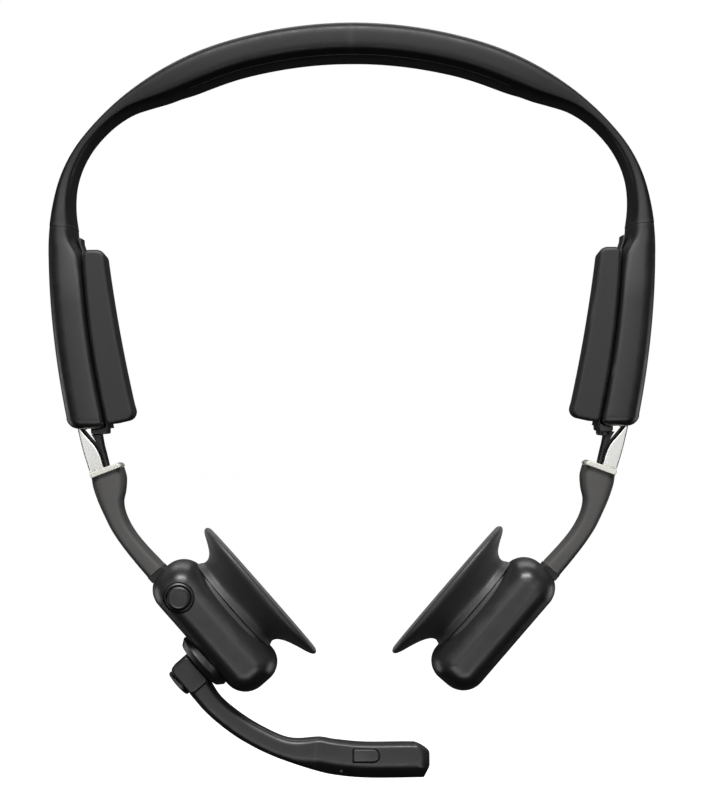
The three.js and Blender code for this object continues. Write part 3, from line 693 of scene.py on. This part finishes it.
def button_place(out):
    """A frame on the pod's front, its z out of the front, at a distance from the pod's middle plane."""
    u, n = MAIN_BUTTON["u"], MAIN_BUTTON["n"]
    return POD_PLACE @ Matrix(((1, 0, 0, u), (0, 0, 1, out), (0, -1, 0, n), (0, 0, 0, 1)))


def main_button():
    """The round cap with a raised rim, and the ring about it."""
    face = pod_front(MAIN_BUTTON["n"])
    inner, outer = MAIN_BUTTON["ring"]
    cap = MAIN_BUTTON["cap"]
    profile = [(0, -2.6), (cap, -2.6), (cap, -0.35), (cap - 0.12, -0.1), (cap - 0.45, 0.08),
               (cap - 0.6, 0.02), (cap - 0.9, -0.02), (cap * 0.5, 0.06), (0, 0.1)]
    make("main_button_cap", moved(lathe(profile), button_place(face + 0.1)), "plastic", "main_button",
         SIDES["left"], ["main_button"])
    rings = moved(lathe([(inner, -2.4), (inner, -0.3), (inner + 0.15, -0.12), (outer - 0.2, -0.25),
                         (outer, -0.5), (outer, -2.4), (inner, -2.4)]), button_place(face))
    bend_to_pod(rings, face)
    make("button_ring", rings, "plastic", "left_arm", SIDES["left"], ["main_button_bezel"])


def bend_to_pod(rings, face):
    """Lets a ring round the button follow the pod's rounded front."""
    back = np.array(POD_PLACE.inverted(), float)
    for ring in rings:
        n = (ring @ back[:3, :3].T + back[:3, 3])[:, 2]
        ring[:, 1] += [face - pod_front(value) for value in n]


# ---- boom ----

def hub_pieces():
    """The disc on the pod's outer face and the block that turns on it, with its cap."""
    face = -POD["thickness"] / 2
    u, base, width = HUB["u"], HUB["base"], HUB["width"]
    at = Matrix.Translation((u, 0, 0))
    disc = [(0, face + 0.8), (base - 0.1, face + 0.8), (base, face - 0.3), (base + 0.15, face - 0.9),
            (base - 0.9, face - 2.4), (base - 1.2, face - 2.6), (0, face - 2.6)]
    make("boom_base_disc", moved(lathe(disc), POD_PLACE @ at), "plastic", "left_arm", SIDES["left"],
         ["boom_base_plate"])
    far = face - 9.3
    block = rounded([(u - width / 2 - 0.2, far, 1.6), (u + width / 2 + 0.5, far, 1.6),
                     (u + width / 2 + 0.5, face - 2.8, 1.2), (u - width / 2 - 0.2, face - 2.8, 1.2)], 6)
    make("boom_hub_block", moved(slab(block, width / 2, 0.9, 6), POD_PLACE), "plastic", "boom",
         SIDES["left"], ["boom_hub"])
    cap = [(0, far + 0.5), (3.3, far + 0.5), (3.3, far - 0.15), (3.8, far - 0.3), (3.8, far - 0.85),
           (3.45, far - 1.15), (0, far - 1.2)]
    make("boom_hub_disc", moved(lathe(cap), POD_PLACE @ at), "plastic", "boom", SIDES["left"],
         ["boom_hub_cap"])


BOOM_OUTER = [(44.6, -171.3), (40.5, -176.1), (35.9, -180.2), (30.2, -184.2), (22.1, -188.3),
              (10.6, -192.3), (3.8, -193.7), (-4.1, -194.3), (-15, -194.3), (-20.2, -194.2)]
BOOM_INNER = [(39.6, -167), (36.5, -172), (31.9, -176.1), (25.6, -180.2), (17.8, -183.6), (9.8, -183.6),
              (5.6, -184.3), (-2.5, -185.1), (-14.6, -185.1), (-20.2, -185.3)]
BOOM_STEPS = 200
BOOM_JOINT = 0.55  # the share of its length where the stem meets the tip


def boom_section(width, half_depth, share):
    """Points (across, depth) of the boom: its lower front edge is cut back more in the tip housing."""
    tip = ease(0.48, 0.58, share)
    edge, back = 0.24 - 0.14 * tip, half_depth * (0.75 - 0.3 * tip)
    corner = 1.5 - 0.7 * tip
    top, low, crease = width / 2, -width / 2, -width / 2 + width * edge + width * 0.28 * tip
    return rounded([(low, -back, corner), (crease, -half_depth, 0.9), (top, -half_depth, corner),
                    (top, half_depth, corner), (crease, half_depth, 0.9), (low, back, corner)], 5)


def boom_rings(start, end, count=80):
    """Rings of the boom between two shares of its length."""
    outer, inner = curve(BOOM_OUTER, BOOM_STEPS), curve(BOOM_INNER, BOOM_STEPS)
    rings = []
    for share in np.linspace(start, end, count):
        i = round(share * BOOM_STEPS)
        (ox, oz), (ix, iz) = outer[i], inner[i]
        half = smooth([(0, 3.6), (0.45, 3.6), (0.6, 4.1), (0.9, 4.2), (0.97, 3.9), (1, 3)], share)
        width = math.hypot(ox - ix, oz - iz)
        ring = boom_section(width, half, share)
        at = 0.5 + ring[:, 0] / width
        rings.append(np.column_stack([ox + (ix - ox) * at, ring[:, 1], oz + (iz - oz) * at]))
    return rings


def mute_outline(grow):
    """The mute key's outline, grown all round by half of grow: square at one end and round at the other."""
    half, rise = (MUTE["length"] + grow) / 2, (MUTE["height"] + grow) / 2
    shape = rounded([(-half, -rise, 0.5), (half, -rise, rise), (half, rise, rise), (-half, rise, 0.5)], 8)
    return shape * [-1, 1] + [MUTE["x"], MUTE["z"]]


def bore(radius, near, far):
    """A round hole from front to back about the microphone's place."""
    turns = np.arange(24) * math.pi / 12
    circle = np.column_stack([np.cos(turns), np.sin(turns)])
    return [upright(circle * radius + MICROPHONE, y) for y in (near, far)]


def boom():
    """The stem, the tip with its openings, the microphone behind its hole, and the mute key."""
    left = SIDES["left"]
    make("boom_stem_skin", boom_rings(0, BOOM_JOINT), "plastic", "boom", left, ["boom_stem"])
    tip = solid("boom_tip_shell", boom_rings(BOOM_JOINT, 1), LOOKS["plastic"], left)
    key_opening = [upright(mute_outline(0.6), y) for y in (-2.6, -6)]
    carve(tip, side_cutter(), plan_cutter(), key_opening, bore(0.5, -6, -0.8), mirror=left)
    mark(tip, "boom", ["boom_tip"])
    make("microphone_can", bore(0.45, -1, -0.6), "satin_metal", "boom", left, ["microphone"])
    near, far = 2.3, 4.4
    key = slab(mute_outline(0), (far - near) / 2, 0.3, 3)
    make("mute_key", [ring - [0, (near + far) / 2, 0] for ring in key], "plastic", "mute_button", left,
         ["mute_button"])


def side_cutter():
    """All that lies past the tip's slanted, round-shouldered end, as seen from the front."""
    end = curve([(-13, -184.4), (-15.9, -185.1), (-18.4, -186.2), (-20.2, -187.6), (-20.7, -189),
                 (-20.3, -190.6), (-18.9, -193.6), (-18.2, -195.4)], 35)
    outline = np.vstack([end, [(-30, -199), (-30, -180), (-13, -180)]])
    return [upright(outline, y) for y in (-8, 8)]


def plan_cutter():
    """All that lies past the tip's rounded end, as seen from above."""
    end = curve([(-12, -4.5), (-16, -4.25), (-18.9, -3.5), (-20.6, -1.9), (-21.1, 0), (-20.6, 1.9),
                 (-18.9, 3.5), (-16, 4.25), (-12, 4.5)], 40)
    outline = np.vstack([end, [(-12, 9), (-30, 9), (-30, -9), (-12, -9)]])
    return [level(outline, z) for z in (-181, -198)]


# ---- light, floor and camera, in metres ----

VIEW_CENTRE = (0.0010, -0.0921)
VIEW_DISTANCE = 0.65
VIEW_WIDTH = 800 * 0.000271  # what the longer side of the picture spans at the object
VIEW_ROLL = -0.33 * DEG


def stage():
    """A pale floor that glows a little, so that it has no horizon, and throws nothing on the object."""
    floor_material = bpy.data.materials.new("pale_floor")
    floor_material.use_nodes = True
    shader = floor_material.node_tree.nodes["Principled BSDF"]
    shader.inputs["Base Color"].default_value = (0.6, 0.6, 0.6, 1)
    shader.inputs["Roughness"].default_value = 0.9
    shader.inputs["Emission Color"].default_value = (1, 1, 1, 1)
    shader.inputs["Emission Strength"].default_value = 0.97
    mesh = bpy.data.meshes.new("floor")
    size, drop = 6, cad_box[0][2] - 0.09
    corners = [(a * size, b * size, drop) for a, b in ((-1, -1), (1, -1), (1, 1), (-1, 1))]
    mesh.from_pydata(corners, [], [(0, 1, 2, 3)])
    mesh.materials.append(floor_material)
    floor = bpy.data.objects.new("floor", mesh)
    bpy.context.collection.objects.link(floor)
    floor.visible_glossy = floor.visible_diffuse = False


def world():
    """White to the eye, and a dim grey surround for what the surfaces reflect."""
    made = bpy.data.worlds.new("studio")
    bpy.context.scene.world = made
    made.use_nodes = True
    tree = made.node_tree
    add, link = tree.nodes.new, tree.links.new
    dim, white = tree.nodes["Background"], add("ShaderNodeBackground")
    dim.inputs["Color"].default_value = (1, 1, 1, 1)
    dim.inputs["Strength"].default_value = 0.035
    white.inputs["Strength"].default_value = 1.0
    white.inputs["Color"].default_value = (1, 1, 1, 1)
    mix = add("ShaderNodeMixShader")
    link(add("ShaderNodeLightPath").outputs["Is Camera Ray"], mix.inputs["Fac"])
    link(dim.outputs["Background"], mix.inputs[1])
    link(white.outputs["Background"], mix.inputs[2])
    link(mix.outputs["Shader"], tree.nodes["World Output"].inputs["Surface"])


def softbox(name, place, target, size, power):
    """A soft rectangular light, in metres and watts, that the camera doesn't see."""
    data = bpy.data.lights.new(name, "AREA")
    data.shape = "RECTANGLE"
    data.size, data.size_y = size
    data.energy = power
    lamp = bpy.data.objects.new(name, data)
    lamp.location = place
    lamp.visible_camera = False
    lamp.rotation_euler = (Vector(target) - Vector(place)).to_track_quat("-Z", "Y").to_euler()
    bpy.context.collection.objects.link(lamp)


def lights():
    middle = (0, 0, -0.09)
    softbox("key_above_front", (0, -0.55, 0.62), middle, (0.7, 0.3), 15)
    softbox("centre_front", (0, -0.55, 0.1), middle, (0.35, 0.35), 0.9)
    softbox("fill_front", (0, -1.7, -0.05), middle, (1.2, 0.9), 1.7)
    softbox("rim_left", (-0.75, 0.45, -0.35), middle, (0.5, 0.5), 1.2)
    softbox("rim_right", (0.75, 0.45, -0.35), middle, (0.5, 0.5), 1.2)
    softbox("low_front", (0, -0.5, -0.44), (0, 0, -0.17), (0.6, 0.25), 1.4)
    softbox("back_top", (0, 0.6, 0.6), middle, (1.0, 0.4), 3)


def camera():
    data = bpy.data.cameras.new("camera")
    data.lens = data.sensor_width * VIEW_DISTANCE / VIEW_WIDTH
    data.clip_start = 0.01
    obj = bpy.data.objects.new("camera", data)
    obj.matrix_world = (Matrix.Translation((VIEW_CENTRE[0], -VIEW_DISTANCE, VIEW_CENTRE[1]))
                        @ Matrix.Rotation(math.pi / 2, 4, "X") @ Matrix.Rotation(VIEW_ROLL, 4, "Z"))
    bpy.context.collection.objects.link(obj)
    bpy.context.scene.camera = obj
    bpy.context.scene.view_settings.view_transform = "Standard"


# ---- assembly ----

def dress_nodes():
    """Gives each CAD node that stays the finish of its own slot."""
    for part in frame["record"]["subparts"]:
        node = frame["nodes"][part["node"]]
        node.data.materials.clear()
        node.data.materials.append(LOOKS[part["material_slot"]])


camera()
world()
lights()
stage()
dress_nodes()
crown_pad()
for side_name in SIDES:
    band_half(side_name)
    housing(side_name)
    temple_pad(side_name)
    pad_frame(side_name)
    slider(side_name)
    arm(side_name)
    pod(side_name)
    pod_cover(side_name)
    ear_pad(side_name)
port_tongue()
volume_keys()
main_button()
hub_pieces()
boom()
